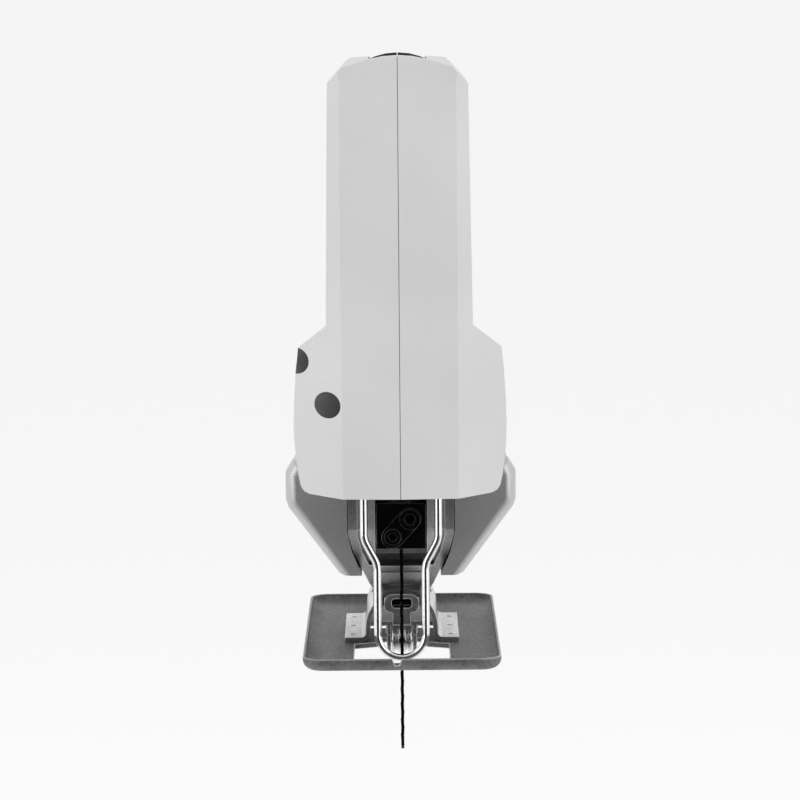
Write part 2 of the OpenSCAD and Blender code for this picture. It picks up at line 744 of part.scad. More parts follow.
module guide_roller() {
  color("lightgray") translate([0, ROLLER[0], ROLLER[1]]) rotate([0, 90, 0]) rotate_extrude()
    polygon([[1.55, -3.9], [4.4, -3.9], [4.7, -3.5], [4.7, -2.6], [4, -2.3], [4, -1.9], [4.9, -1.5],
             [4.9, -1], [4.5, -0.8], [4.5, 0.8], [4.9, 1], [4.9, 1.5], [4, 1.9], [4, 2.3], [4.7, 2.6],
             [4.7, 3.5], [4.4, 3.9], [1.55, 3.9]]);
}

// ---- sole ----

LIP = 5;                         // height of the turned-up edges
SOLE_BEND = 4;                   // outer radius of their bend
BRACKET_Y = [-22, 34];           // front and rear end of the tilt bracket
FLANGE_X = 22.2;                 // half width of its flanges
NOTCH_X = -1.9;
BOLT_Y = 17;

module pressed_tray(t, h) {
  k = sole_w / 2 - t;
  n = sole_len / 2 - t;
  r = SOLE_BEND - t;
  intersection() {
    along_y(-n, n) rounded(-k, k, t, h, [r, r, 0.5, 0.5]);
    along_x(-k, k) rounded(-n, n, t, h, [r, r, 0.5, 0.5]);
  }
}

module sole_plate() {
  color("silver") difference() {
    intersection() {
      pressed_tray(0, 20);
      box(-60, 60, -90, 90, -1, LIP);
    }
    pressed_tray(sheet, 30);
    // blade window, narrowing towards the bracket
    translate([0, 0, -5]) linear_extrude(12)
      polygon([[-18.3, -67], [18.3, -67], [18.3, -26], [9, -22], [9, -12], [-9, -12], [-9, -22],
               [-18.3, -26]]);
    box(-13, 13, 9, 25, -5, 6);
    // sighting notch in the front lip, a little to one side of the blade
    along_y(-90, -70) translate([NOTCH_X, 0])
      polygon([[-0.9, 2.4], [0.9, 2.4], [2.2, LIP + 1], [-2.2, LIP + 1]]);
  }
}

module tilt_bracket() {
  inner_r = arch_r - 1.8;
  color("silver") difference() {
    union() {
      bar_y(arch_r, BRACKET_Y[0], BRACKET_Y[1], 0, tilt_z);
      box(-arch_r, arch_r, BRACKET_Y[0], BRACKET_Y[1], sheet, tilt_z);
      box(-FLANGE_X, FLANGE_X, BRACKET_Y[0], BRACKET_Y[1], sheet, sheet + 1.8);
    }
    bar_y(inner_r, BRACKET_Y[0] - 1, BRACKET_Y[1] + 1, 0, tilt_z);
    box(-inner_r, inner_r, BRACKET_Y[0] - 1, BRACKET_Y[1] + 1, sheet - 4, tilt_z);
    box(-60, 60, BRACKET_Y[0] - 1, BRACKET_Y[1] + 1, -10, sheet);
    // curved slot that the clamp bolt passes through at any tilt
    along_y(BOLT_Y - 3.4, BOLT_Y + 3.4)
      polygon(concat([[0, tilt_z]], arc(0, tilt_z, arch_r + 6, 31, 149, 8)));
  }
}

module sole_clamp_plate() {
  color("silver") difference() {
    bar_y(arch_r - 1.8 - gap, BOLT_Y - 10, BOLT_Y + 10, 0, tilt_z);
    box(-20, 20, 0, 40, -20, 15);
    both_sides() box(7.5, 20, 0, 40, -20, 40);
    bar_z(3.05, 10, 30, 0, BOLT_Y);
  }
}

module sole_clamp_bolt() {
  color("dimgray") difference() {
    union() {
      bar_z(3, 14, 33.5, 0, BOLT_Y);
      bar_z(5, 9.2, 15, 0, BOLT_Y);
    }
    translate([0, BOLT_Y, 8]) cylinder(r = 2.9, h = 4.5, $fn = 6);
  }
}

// ---- controls ----

module switch_body() {
  color("black") union() {
    box(-10, 10, -10, 32, 203, 217);
    for (y = [-4, 10, 24]) box(-6, 6, y, y + 1, 217, 220);
  }
}

module trigger() {
  color("dimgray") {
    along_x(-7, 7) polygon([[-4, 195], [-4, 188], [-1, 184.6], [8, 183.6], [18, 184.8], [28, 186.4],
                            [32, 189], [32, 195]]);
    box(-9, 9, -7, 33.5, 193.4, 196);
  }
}

module trigger_spring() {
  color("silver") translate([0, 14, 0]) coil_spring(3.5, 0.45, 196, 203, 4);
}

module lock_button() {
  color("dimgray") {
    bar_x(5.5, 12.8, 14.4, LOCK[0], LOCK[1]);
    bar_x(4, 14.4, 21.3, LOCK[0], LOCK[1]);
  }
}

DIAL = [113, 112];

module speed_control() {
  color("black") {
    box(-8, 8, 94, 101, 104, 120);
    both_sides() box(4.7, 7, 101, 116.5, 108, 116);
    bar_x(1.9, -4.8, 4.8, DIAL[0], DIAL[1]);
  }
}

module speed_dial() {
  color("dimgray") difference() {
    bar_x(11.2, -3.8, 3.8, DIAL[0], DIAL[1]);
    bar_x(1.95, -5, 5, DIAL[0], DIAL[1]);
    for (a = [0:15:345]) translate([0, DIAL[0], DIAL[1]]) rotate([a, 0, 0]) bar_x(0.6, -5, 5, 0, 11.5);
  }
}

module orbit_selector() {
  color("dimgray") union() {
    bar_x(3, 24.6, 37, ORBIT[0], ORBIT[1]);
    bar_x(9.9, 36.4, 38.8, ORBIT[0], ORBIT[1]);
    box(38, 40.5, ORBIT[0] - 2, ORBIT[0] + 2, ORBIT[1] - 8.5, ORBIT[1] + 8.5);
  }
}

module cord_gland() {
  color("black") difference() {
    union() {
      bar_y(8.5, 115.5, 119, 0, GLAND_Z);
      bar_y(6.5, 119, 138, 0, GLAND_Z);
      for (y = [124:3:136]) bar_y(7.3, y, y + 1.4, 0, GLAND_Z);
    }
    bar_y(3.6, 110, 145, 0, GLAND_Z);
  }
}

left_shell();
right_shell();
left_grip();
right_grip();
housing_screws();
gear_case();
bearing_plate();
wire_guard();
belly_cover();
belly_screws();
dust_outlet();
plunger_bushes();
gear_shaft();
stator_core();
field_coils();
bearing_outer_rings();
bearing_balls();
brush_holders();
carbon_brushes();
brush_springs();
air_baffle();
switch_body();
cord_gland();
speed_control();
lever_pin();
sole_clamp_plate();
sole_clamp_bolt();
armature_shaft();
armature_core();
commutator();
cooling_fan();
bearing_inner_rings();
crank_gear();
crank_pin();
crank_roller();
plunger_rod();
plunger_yoke();
clamp_block();
clamp_pad();
clamp_screws();
saw_blade();
roller_lever();
roller_pin();
guide_roller();
sole_plate();
tilt_bracket();
trigger();
trigger_spring();
lock_button();
speed_dial();
orbit_selector();
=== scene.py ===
import json
import math

import bmesh
import bpy
from mathutils import Matrix, Vector


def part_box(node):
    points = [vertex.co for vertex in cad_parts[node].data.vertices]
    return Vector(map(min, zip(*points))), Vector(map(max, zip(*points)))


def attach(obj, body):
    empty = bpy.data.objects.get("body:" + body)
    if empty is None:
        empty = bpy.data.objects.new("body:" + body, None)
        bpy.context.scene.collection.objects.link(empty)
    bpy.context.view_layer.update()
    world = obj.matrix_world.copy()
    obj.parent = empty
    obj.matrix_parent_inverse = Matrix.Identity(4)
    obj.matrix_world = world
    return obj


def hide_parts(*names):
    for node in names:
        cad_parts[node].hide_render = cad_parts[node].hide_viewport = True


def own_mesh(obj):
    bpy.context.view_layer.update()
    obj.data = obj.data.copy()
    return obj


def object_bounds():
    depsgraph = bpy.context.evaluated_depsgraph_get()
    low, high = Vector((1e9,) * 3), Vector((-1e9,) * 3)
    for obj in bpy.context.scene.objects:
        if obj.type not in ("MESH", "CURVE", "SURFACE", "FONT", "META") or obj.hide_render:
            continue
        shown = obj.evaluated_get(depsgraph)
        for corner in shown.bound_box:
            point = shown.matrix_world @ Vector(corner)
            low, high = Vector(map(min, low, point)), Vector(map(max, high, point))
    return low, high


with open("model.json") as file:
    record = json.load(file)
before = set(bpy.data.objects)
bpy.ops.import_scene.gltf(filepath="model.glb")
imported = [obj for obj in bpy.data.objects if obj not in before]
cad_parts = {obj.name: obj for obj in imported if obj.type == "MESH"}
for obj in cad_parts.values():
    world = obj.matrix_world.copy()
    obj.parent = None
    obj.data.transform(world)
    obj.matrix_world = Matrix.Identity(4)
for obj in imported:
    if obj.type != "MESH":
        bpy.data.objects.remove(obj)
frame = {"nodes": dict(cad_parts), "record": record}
cad_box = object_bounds()
MM = 0.001
scene = bpy.context.scene


# ---------- colours and the node helper ----------

def tone(hex_code, alpha=1.0):
    """An sRGB hex colour as linear values."""
    def linear(c):
        return c / 12.92 if c <= 0.04045 else ((c + 0.055) / 1.055) ** 2.4
    code = hex_code.lstrip("#")
    return tuple(linear(int(code[i:i + 2], 16) / 255) for i in (0, 2, 4)) + (alpha,)


def add(tree, kind, settings=None, **inputs):
    """Adds a node; an input is a value, or an output socket to link from."""
    node = tree.nodes.new(kind)
    for key, value in (settings or {}).items():
        setattr(node, key, value)
    for key, value in inputs.items():
        index = int(key[1:]) if key[0] == "i" and key[1:].isdigit() else None
        socket = node.inputs[index] if index is not None else node.inputs[key.replace("_", " ")]
        if isinstance(value, bpy.types.NodeSocket):
            tree.links.new(value, socket)
        else:
            socket.default_value = value
    return node


def new_material(name):
    """An empty material with a Principled shader; also gives object coordinates in metres."""
    mat = bpy.data.materials.new(name)
    mat.use_nodes = True
    tree = mat.node_tree
    shader = tree.nodes["Principled BSDF"]
    coords = add(tree, "ShaderNodeTexCoord").outputs["Object"]
    return mat, tree, shader, coords


def ramp(tree, fac, stops):
    """A colour ramp over (position, hex) stops."""
    node = add(tree, "ShaderNodeValToRGB", Fac=fac)
    elements = node.color_ramp.elements
    while len(elements) < len(stops):
        elements.new(0.5)
    for element, (place, code) in zip(elements, stops):
        element.position = place
        element.color = tone(code)
    return node.outputs["Color"]


def grain_bump(tree, shader, coords, grain_mm, depth_mm, detail=3.0, strength=1.0):
    """Fine surface grain of a given pitch and depth as bump; gives the noise back."""
    noise = add(tree, "ShaderNodeTexNoise", Vector=coords, Scale=1 / (grain_mm * MM), Detail=detail)
    bump = add(tree, "ShaderNodeBump", Height=noise.outputs["Fac"], Distance=depth_mm * MM, Strength=strength)
    tree.links.new(bump.outputs["Normal"], shader.inputs["Normal"])
    return noise.outputs["Fac"]


def spread(tree, fac, low, high):
    """Maps 0..1 onto low..high."""
    return add(tree, "ShaderNodeMapRange", Value=fac, To_Min=low, To_Max=high).outputs["Result"]


def worn_and_highlit_edges(tree, width_mm):
    """0 on flat faces and up to 1 on outer edges, where handling rubs the skin off and where a painted
    highlight stands for the light the edges catch.
    """
    first, full = 0.995, 0.825       # cosine of the turned normal where the pale edge starts, and where it is whole
    plain = add(tree, "ShaderNodeNewGeometry").outputs["Normal"]
    turned = add(tree, "ShaderNodeBevel", {"samples": 4}, Radius=width_mm * MM).outputs["Normal"]
    same = add(tree, "ShaderNodeVectorMath", {"operation": "DOT_PRODUCT"}, i0=plain, i1=turned)
    return add(tree, "ShaderNodeMapRange", Value=same.outputs["Value"], From_Min=first, From_Max=full,
               To_Min=0.0, To_Max=1.0).outputs["Result"]


def mix_colour(tree, fac, first, second):
    """Mixes two colours; a colour is an output socket or an sRGB hex."""
    node = add(tree, "ShaderNodeMix", {"data_type": "RGBA"}, i0=fac)
    for index, colour in ((6, first), (7, second)):
        if isinstance(colour, str):
            node.inputs[index].default_value = tone(colour)
        else:
            tree.links.new(colour, node.inputs[index])
    return node.outputs[2]


# ---------- materials ----------

def moulded_nylon(name, light, dark, grain_mm, rough):
    """Moulded nylon from a spark-eroded mould: even and matt, with a fine stipple that softens
    every highlight."""
    mat, tree, shader, coords = new_material(name)
    cloud = add(tree, "ShaderNodeTexNoise", Vector=coords, Scale=1 / (60 * MM), Detail=4.0).outputs["Fac"]
    fine = grain_bump(tree, shader, coords, grain_mm, 0.03)
    speckle = add(tree, "ShaderNodeMix", {"data_type": "FLOAT"}, i0=0.3, i2=cloud, i3=fine).outputs[0]
    skin = ramp(tree, speckle, [(0.3, dark), (0.7, light)])
    # painted shade: the attribute well is 1 inside the deep screw wells, and there the nylon is painted a
    # darker grey that stands for the shade in them
    well = add(tree, "ShaderNodeAttribute", {"attribute_name": "well"}).outputs["Fac"]
    tree.links.new(mix_colour(tree, well, skin, "#626262"), shader.inputs["Base Color"])
    tree.links.new(spread(tree, fine, rough - 0.06, rough + 0.08), shader.inputs["Roughness"])
    shader.inputs["IOR"].default_value = 1.53
    return mat


def mica_nylon():
    """Mica-filled grey nylon: flakes lying in the skin give a silvery sheen, so that a face turned to a
    bright wall looks pale and one turned to the dark looks grey."""
    mat, tree, shader, coords = new_material("mica_filled_nylon")
    cloud = add(tree, "ShaderNodeTexNoise", Vector=coords, Scale=1 / (45 * MM), Detail=4.0).outputs["Fac"]
    fine = grain_bump(tree, shader, coords, 0.6, 0.035)
    flakes = add(tree, "ShaderNodeTexVoronoi", Vector=coords, Scale=1 / (0.5 * MM)).outputs["Distance"]
    speckle = add(tree, "ShaderNodeMix", {"data_type": "FLOAT"}, i0=0.4, i2=cloud, i3=flakes).outputs[0]
    tree.links.new(ramp(tree, speckle, [(0.25, "#b4b4b4"), (0.7, "#cacaca")]), shader.inputs["Base Color"])
    tree.links.new(spread(tree, fine, 0.3, 0.46), shader.inputs["Roughness"])
    shader.inputs["Metallic"].default_value = 0.72
    return mat


def soft_rubber():
    """Overmoulded thermoplastic rubber: nearly black, dull, with a faint bloom."""
    mat, tree, shader, coords = new_material("overmoulded_rubber")
    fine = grain_bump(tree, shader, coords, 0.8, 0.05)
    tree.links.new(ramp(tree, fine, [(0.3, "#141414"), (0.8, "#242424")]), shader.inputs["Base Color"])
    tree.links.new(spread(tree, fine, 0.62, 0.8), shader.inputs["Roughness"])
    shader.inputs["Sheen Weight"].default_value = 0.15
    return mat


def metal(name, light, dark, rough, grain_mm, depth_mm, streak=None, worn_mm=14, edge_wear_and_highlight=None, bare=1.0):
    """Bare or plated metal. streak stretches the grain along one axis, as grinding or rolling does;
    the argument for edges is the (hex, width in mm) of edges painted paler than the rest, partly wear and
    partly a painted highlight; bare is how much of the skin is clean metal, the rest being dull oxide."""
    mat, tree, shader, coords = new_material(name)
    if streak:
        coords = add(tree, "ShaderNodeMapping", Vector=coords, Scale=streak).outputs["Vector"]
    patches = add(tree, "ShaderNodeTexNoise", Vector=coords, Scale=1 / (worn_mm * MM), Detail=6.0,
                  Roughness=0.65).outputs["Fac"]
    fine = grain_bump(tree, shader, coords, grain_mm, depth_mm)
    blend = add(tree, "ShaderNodeMix", {"data_type": "FLOAT"}, i0=0.45, i2=patches, i3=fine).outputs[0]
    skin = ramp(tree, blend, [(0.3, dark), (0.68, light)])
    # pale edges: partly wear, partly a painted highlight where the edges catch light
    if edge_wear_and_highlight:
        skin = mix_colour(tree, worn_and_highlit_edges(tree, edge_wear_and_highlight[1]), skin, edge_wear_and_highlight[0])
    tree.links.new(skin, shader.inputs["Base Color"])
    tree.links.new(spread(tree, blend, rough + 0.1, rough - 0.08), shader.inputs["Roughness"])
    shader.inputs["Metallic"].default_value = bare
    return mat


def laminated_iron():
    """Stacked sheet iron: the sheets show as fine lines across the motor's axis."""
    mat, tree, shader, coords = new_material("laminated_iron")
    line_scale = 123.4076433         # a line about every 2.5 mm
    groove_mm = 0.05
    lines = add(tree, "ShaderNodeTexWave", {"bands_direction": "Y"}, Vector=coords, Scale=line_scale)
    bump = add(tree, "ShaderNodeBump", Height=lines.outputs["Fac"], Distance=groove_mm * MM)
    tree.links.new(bump.outputs["Normal"], shader.inputs["Normal"])
    iron = ramp(tree, lines.outputs["Fac"], [(0.2, "#3a3b3d"), (0.8, "#6a6b6d")])
    tree.links.new(iron, shader.inputs["Base Color"])
    shader.inputs["Metallic"].default_value = 1.0
    shader.inputs["Roughness"].default_value = 0.5
    return mat


MATERIALS = {
    # pale neutral grey of an unpainted housing
    "housing_plastic": moulded_nylon("moulded_nylon_pale", "#d6d6d6", "#cbcbcb", 0.55, 0.5),
    "soft_grip": soft_rubber(),
    # thin zinc plating, a little cloudy
    "zinc_screws": metal("zinc_plated_screw_steel", "#b9babc", "#8b8c8e", 0.32, 0.6, 0.01),
    # as-cast alloy: matt, slightly pitted skin; its pale edges are partly wear, partly a painted highlight
    "cast_alloy": metal("die_cast_alloy", "#c2c2c2", "#929292", 0.4, 0.9, 0.06, edge_wear_and_highlight=("#eeeeee", 0.7)),
    # bright chromium over drawn wire: mirror-like with faint drawing lines
    "chromed_wire": metal("bright_chromed_wire", "#f0f0f0", "#d8d8d8", 0.12, 2.0, 0.004, worn_mm=6),
    "belly_plastic": mica_nylon(),
    "dark_plastic": moulded_nylon("moulded_nylon_black", "#2b2b2b", "#1d1d1d", 0.6, 0.5),
    # oil-filled sintered bronze: dull gold with dark pores
    "sintered_bronze": metal("sintered_bronze", "#b08d57", "#7b5f36", 0.45, 0.4, 0.03),
    # ground steel: bright with fine grinding lines round the part; its white edges are partly wear, partly a
    # painted highlight
    "bright_steel": metal("ground_steel", "#e2e3e5", "#b4b5b7", 0.2, 0.7, 0.01, edge_wear_and_highlight=("#ffffff", 0.3)),
    "laminated_iron": laminated_iron(),
    # enamelled copper wire: deep orange gloss
    "copper": metal("enamelled_copper", "#b8653a", "#7d3c1c", 0.3, 0.8, 0.03, streak=(1, 0.1, 1)),
    "carbon": metal("pressed_carbon", "#3b3b3c", "#242425", 0.55, 0.4, 0.02),
    # hot-blackened steel: near black with a dull oily shine; its grey edges are partly wear, partly a painted
    # highlight
    "black_oxide_steel": metal("black_oxide_steel", "#262627", "#131314", 0.38, 0.5, 0.02,
                               edge_wear_and_highlight=("#a0a0a2", 0.4)),
    # zinc-plated sheet: clouded grey with rolling lines and rubbed patches; its white edges are partly wear,
    # partly a painted highlight
    "zinc_plated_steel": metal("zinc_plated_sheet", "#7c7c7e", "#454547", 0.5, 1.1, 0.02, streak=(1, 0.35, 1),
                               edge_wear_and_highlight=("#ffffff", 0.6), bare=0.35),
}
# the same plating on the thicker bracket strip, rubbed paler by the sole's tilting; its white edges are
# partly wear, partly a painted highlight
BRACKET_ZINC = metal("rubbed_zinc_strip", "#d4d4d5", "#a2a2a4", 0.3, 0.9, 0.03, streak=(1, 0.35, 1),
                     edge_wear_and_highlight=("#ffffff", 0.6))
# a hardened blade left in its black rolling skin
BLADE_BLACK = metal("black_rolled_blade_steel", "#1a1a1b", "#0c0c0d", 0.5, 0.6, 0.01, streak=(1, 1, 0.2))
# hardened pin, heat-blued almost black
BLUED_PIN = metal("blued_pin_steel", "#26262a", "#131316", 0.35, 0.6, 0.01)

for node, obj in frame["nodes"].items():
    slot = next(s["material_slot"] for s in frame["record"]["subparts"] if s["node"] == node)
    obj.data.materials.clear()
    obj.data.materials.append(BLUED_PIN if node == "lever_pin" else MATERIALS[slot])


# ---------- node trees that make or finish geometry ----------

def geometry_tree(name, *sockets):
    """A geometry node tree with Geometry in and out and the given (name, kind) inputs."""
    tree = bpy.data.node_groups.new(name, "GeometryNodeTree")
    tree.interface.new_socket("Geometry", in_out="INPUT", socket_type="NodeSocketGeometry")
    for label, kind in sockets:
        tree.interface.new_socket(label, in_out="INPUT", socket_type="NodeSocket" + kind)
    tree.interface.new_socket("Geometry", in_out="OUTPUT", socket_type="NodeSocketGeometry")
    given, out = tree.nodes.new("NodeGroupInput"), tree.nodes.new("NodeGroupOutput")
    return tree, given.outputs, out.inputs["Geometry"]


def set_inputs(modifier, values):
    """Sets a modifier's named inputs by their sockets' identifiers."""
    for item in modifier.node_group.interface.items_tree:
        if item.in_out == "INPUT" and item.name in values:
            modifier[item.identifier] = values[item.name]


def grow(name, mesh, tree, values):
    """Runs a tree on a mesh and gives the result back as a plain mesh."""
    host = bpy.data.objects.new(name + "_host", mesh)
    scene.collection.objects.link(host)
    modifier = host.modifiers.new("grow", "NODES")
    modifier.node_group = tree
    set_inputs(modifier, values)
    result = bpy.data.meshes.new_from_object(host.evaluated_get(bpy.context.evaluated_depsgraph_get()))
    result.name = name
    bpy.data.objects.remove(host)
    return result


def smooth_tree():
    """Smooth shading everywhere except across edges sharper than Angle."""
    tree, given, out = geometry_tree("smooth_by_angle", ("Angle", "Float"))
    all_smooth = add(tree, "GeometryNodeSetShadeSmooth", {"domain": "FACE"}, Geometry=given["Geometry"])
    turn = add(tree, "GeometryNodeInputMeshEdgeAngle").outputs["Unsigned Angle"]
    sharp = add(tree, "FunctionNodeCompare", {"operation": "GREATER_THAN"}, i0=turn, i1=given["Angle"])
    split = add(tree, "GeometryNodeSetShadeSmooth", {"domain": "EDGE"}, Geometry=all_smooth.outputs[0],
                Selection=sharp.outputs["Result"], Shade_Smooth=False)
    tree.links.new(split.outputs[0], out)
    return tree


def wire_tree():
    """A round wire along a path of edges; the point attribute bend is the radius of each corner."""
    tree, given, out = geometry_tree("bent_wire", ("Radius", "Float"), ("Sides", "Int"), ("Steps", "Int"),
                                     ("Material", "Material"))
    path = add(tree, "GeometryNodeMeshToCurve", Mesh=given["Geometry"]).outputs[0]
    bend = add(tree, "GeometryNodeInputNamedAttribute", {"data_type": "FLOAT"}, Name="bend")
    path = add(tree, "GeometryNodeFilletCurve", {"mode": "POLY"}, Curve=path, Count=given["Steps"],
               Radius=bend.outputs["Attribute"], Limit_Radius=True).outputs[0]
    ring = add(tree, "GeometryNodeCurvePrimitiveCircle", Resolution=given["Sides"], Radius=given["Radius"])
    tube = add(tree, "GeometryNodeCurveToMesh", Curve=path, Profile_Curve=ring.outputs["Curve"],
               Fill_Caps=True)
    solid = add(tree, "GeometryNodeRealizeInstances", Geometry=tube.outputs[0])
    done = add(tree, "GeometryNodeSetMaterial", Geometry=solid.outputs[0], Material=given["Material"])
    tree.links.new(done.outputs[0], out)
    return tree


def weld_tree():
    """A low round button on every point, as a spot weld or a punched mark leaves."""
    tree, given, out = geometry_tree("spot_welds", ("Radius", "Float"), ("Rise", "Float"),
                                     ("Material", "Material"))
    ball = add(tree, "GeometryNodeMeshUVSphere", Segments=16, Rings=8, Radius=given["Radius"])
    flat = add(tree, "ShaderNodeCombineXYZ", X=1.0, Y=1.0, Z=given["Rise"])
    points = add(tree, "GeometryNodeInstanceOnPoints", Points=given["Geometry"],
                 Instance=ball.outputs["Mesh"], Scale=flat.outputs["Vector"])
    solid = add(tree, "GeometryNodeRealizeInstances", Geometry=points.outputs[0])
    done = add(tree, "GeometryNodeSetMaterial", Geometry=solid.outputs[0], Material=given["Material"])
    tree.links.new(done.outputs[0], out)
    return tree


SMOOTH = smooth_tree()


def smooth(obj, degrees=28):
    """Live smooth shading that keeps real edges crisp and flat faces flat."""
    shade = obj.modifiers.new("smooth", "NODES")
    shade.node_group = SMOOTH
    set_inputs(shade, {"Angle": math.radians(degrees)})
    even = obj.modifiers.new("even_normals", "WEIGHTED_NORMAL")
    even.keep_sharp = True


# ---------- CAD pieces that stay: real edges get a small radius ----------

EDGE_MM = {
    "gear_case": 0.7, "bearing_plate": 0.5, "clamp_block": 0.45, "clamp_pad": 0.25, "clamp_screws": 0.25,
    "roller_lever": 0.3, "dust_outlet": 0.5, "trigger": 0.9, "lock_button": 0.5, "speed_dial": 0.3,
    "orbit_selector": 0.6, "cord_gland": 0.4, "sole_clamp_plate": 0.3, "sole_clamp_bolt": 0.3,
    "guide_roller": 0.15, "housing_screws": 0.2, "belly_screws": 0.2, "left_grip": 0.3, "right_grip": 0.3,
}


def soften(obj, width_mm, angle=30):
    """Live modifiers that join a CAD mesh's faces and round its sharp edges."""
    weld = obj.modifiers.new("weld", "WELD")
    weld.merge_threshold = 0.005 * MM
    flat = obj.modifiers.new("planar", "DECIMATE")
    flat.decimate_type = "DISSOLVE"
    flat.angle_limit = math.radians(0.5)
    edge = obj.modifiers.new("edge", "BEVEL")
    edge.width = width_mm * MM
    edge.segments = 3
    edge.limit_method = "ANGLE"
    edge.angle_limit = math.radians(angle)
    edge.use_clamp_overlap = True
    smooth(obj)


for node, width in EDGE_MM.items():
    soften(frame["nodes"][node], width)


# ---------- mesh helpers ----------

def plain_copy(obj, name):
    """A merged copy of a CAD mesh with its flat faces whole, ready for mesh work."""
    mesh = obj.data.copy()
    mesh.name = name
    work = bmesh.new()
    work.from_mesh(mesh)
    bmesh.ops.remove_doubles(work, verts=work.verts, dist=0.004 * MM)
    bmesh.ops.dissolve_limit(work, angle_limit=math.radians(0.4), verts=work.verts, edges=work.edges)
    return mesh, work


def finish_mesh(mesh, work):
    """Writes the mesh work back and gives the mesh."""
    work.to_mesh(mesh)
    work.free()
    return mesh


def add_piece(name, mesh, slot, body, *nodes, finish=None):
    """Makes a mesh a piece that rides on a body and stands for CAD nodes; finish is its own material."""
    piece = bpy.data.objects.new(name, mesh)
    scene.collection.objects.link(piece)
    mesh.materials.clear()
    mesh.materials.append(finish or MATERIALS[slot])
    smooth(piece)
    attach(piece, body)
    if nodes:
        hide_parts(*nodes)
    return piece


def prism(name, outline, along, start, end):
    """A closed prism: an outline of (u, v) in millimetres, run along X, Y or Z."""
    order = {"X": lambda u, v, w: (w, u, v), "Y": lambda u, v, w: (u, w, v), "Z": lambda u, v, w: (u, v, w)}
    count = len(outline)
    verts = [Vector(order[along](u, v, w)) * MM for w in (start, end) for u, v in outline]
    faces = [tuple(range(count)), tuple(range(count, 2 * count))]
    faces += [(i, (i + 1) % count, count + (i + 1) % count, count + i) for i in range(count)]
    mesh = bpy.data.meshes.new(name)
    mesh.from_pydata(verts, [], faces)
    return outward(mesh)


def outward(mesh):
    """Turns every face of a closed mesh outwards."""
    work = bmesh.new()
    work.from_mesh(mesh)
    bmesh.ops.recalc_face_normals(work, faces=work.faces)
    return finish_mesh(mesh, work)


def boolean(name, mesh, operation, *tools):
    """The mesh cut by, or kept inside, closed tool meshes."""
    host = bpy.data.objects.new(name + "_host", mesh)
    scene.collection.objects.link(host)
    helpers = [host]
    for tool in tools:
        helper = bpy.data.objects.new(tool.name, tool)
        scene.collection.objects.link(helper)
        helpers.append(helper)
        step = host.modifiers.new(tool.name, "BOOLEAN")
        step.operation = operation
        step.solver = "EXACT"
        step.object = helper
    result = bpy.data.meshes.new_from_object(host.evaluated_get(bpy.context.evaluated_depsgraph_get()))
    result.name = name
    for helper in helpers:
        bpy.data.objects.remove(helper)
    return result


def edge_angle(edge):
    """The angle between an edge's two faces, in degrees."""
    return math.degrees(edge.calc_face_angle(0.0)) if len(edge.link_faces) == 2 else 0.0


def round_edges(work, wanted, radius_mm, segments):
    """Rounds the edges that wanted() picks, to a radius in millimetres."""
    edges = [e for e in work.edges if wanted(e)]
    bmesh.ops.bevel(work, geom=edges, offset=radius_mm * MM, offset_type="WIDTH", segments=segments,
                    profile=0.5, affect="EDGES", clamp_overlap=True)


# ---------- housing shells ----------

def screw_places():
    """The (y, z) of every shell screw in millimetres, found from the screws' own meshes."""
    work = bmesh.new()
    work.from_mesh(frame["nodes"]["housing_screws"].data)
    bmesh.ops.remove_doubles(work, verts=work.verts, dist=0.004 * MM)
    places, seen = [], set()
    for start in work.verts:
        if start in seen:
            continue
        island, queue = [], [start]
        seen.add(start)
        while queue:
            vert = queue.pop()
            island.append(vert.co)
            for edge in vert.link_edges:
                other = edge.other_vert(vert)
                if other not in seen:
                    seen.add(other)
                    queue.append(other)
        places.append(tuple((min(c[axis] for c in island) + max(c[axis] for c in island)) / 2 / MM
                            for axis in (1, 2)))
    work.free()
    return places


SCREW_PLACES = screw_places()
TONGUE_INSET = 0.75       # millimetres from the wall's edge to the tongue on the seam
TONGUE_GAP = 0.01
WELL_RADIUS = 5.06        # just over the counterbores round the screws
WELL_START = -14          # the wells lie further out than this x


def seam_tongue(work, low):
    """Raises a tongue on the left half's seam faces, so that no light passes between the halves."""
    faces = [f for f in work.faces
             if f.normal.x < -0.99 and abs(f.calc_center_median().x - low.x) < 0.02 * MM]
    bmesh.ops.inset_region(work, faces=faces, thickness=TONGUE_INSET * MM, use_even_offset=True)
    verts = {v for f in faces if f.is_valid for v in f.verts}
    bmesh.ops.translate(work, verts=list(verts), vec=(-2 * low.x + TONGUE_GAP * MM, 0, 0))


def mark_shaded_wells(mesh, low):
    """Writes the attribute well: 1 on the walls of the counterbores, which only the right half has, and there
    the nylon gets painted shade.
    """
    well = mesh.attributes.new("well", "FLOAT", "FACE")
    heads = SCREW_PLACES if low.x < 0 else []
    for face in mesh.polygons:
        place = face.center / MM
        near = any(math.hypot(place.y - y, place.z - z) < WELL_RADIUS for y, z in heads)
        inside = near and abs(face.normal.x) < 0.5 and place.x < WELL_START
        well.data[face.index].value = 1.0 if inside else 0.0


def shell_half(node, name):
    """One clamshell half: the long outer ridges are softly rounded, as the mould is."""
    mesh, work = plain_copy(frame["nodes"][node], name)
    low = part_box(node)[0]
    ridge_mm = 2.4
    if low.x > 0:
        seam_tongue(work, low)

    def ridge(edge):
        mid = (edge.verts[0].co + edge.verts[1].co) / 2
        return (8 < edge_angle(edge) < 80 and edge.is_convex and edge.calc_length() > 6 * MM
                and min(abs(v.co.x) for v in edge.verts) > 12 * MM
                and (mid.y < low.y + 22 * MM or abs(mid.x) > 17 * MM))

    round_edges(work, ridge, ridge_mm, 4)
    finish_mesh(mesh, work)
    mark_shaded_wells(mesh, low)
    add_piece(name, mesh, "housing_plastic", "housing", node)


shell_half("left_shell", "left_housing_half")
shell_half("right_shell", "right_housing_half")


# ---------- belly cover: a full round rim round its front face ----------

